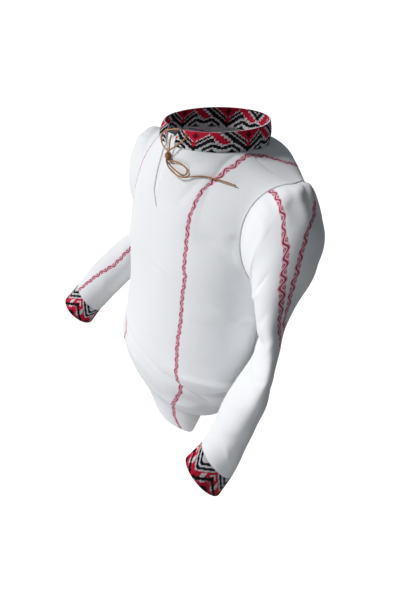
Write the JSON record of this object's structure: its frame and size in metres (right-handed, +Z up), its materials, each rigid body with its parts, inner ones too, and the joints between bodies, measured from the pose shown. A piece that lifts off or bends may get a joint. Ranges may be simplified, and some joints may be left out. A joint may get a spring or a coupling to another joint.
{
  "type": "folk shirt",
  "caption": "Long-sleeved folk shirt with a stand collar, a front neck slit, gathered sleeve heads, banded cuffs and a leather tie, held open as if worn.",
  "frame": {"origin": "inside the collar, on the wearer's middle line, where the neck and shoulders of the wearer hold the shirt", "axes": "+Z up, +X to the wearer's left, -Y to the wearer's front"},
  "size_m": [0.6512, 0.2846, 0.6634],
  "materials": {
    "cotton": "plain weave, matt, with narrow woven rose stripes",
    "cross_stitch": "cross-stitch in black, red and white on plain weave",
    "leather": "soft tan thong"
  },
  "bodies": {
    "root": {"front": "cotton", "back": "cotton", "sleeve_left": "cotton", "sleeve_right": "cotton", "cuff_left": "cross_stitch", "cuff_right": "cross_stitch", "collar": "cross_stitch", "tie_loop": "leather", "tie_tail": "leather", "tie_knot": "leather"}
  },
  "joints": []
}
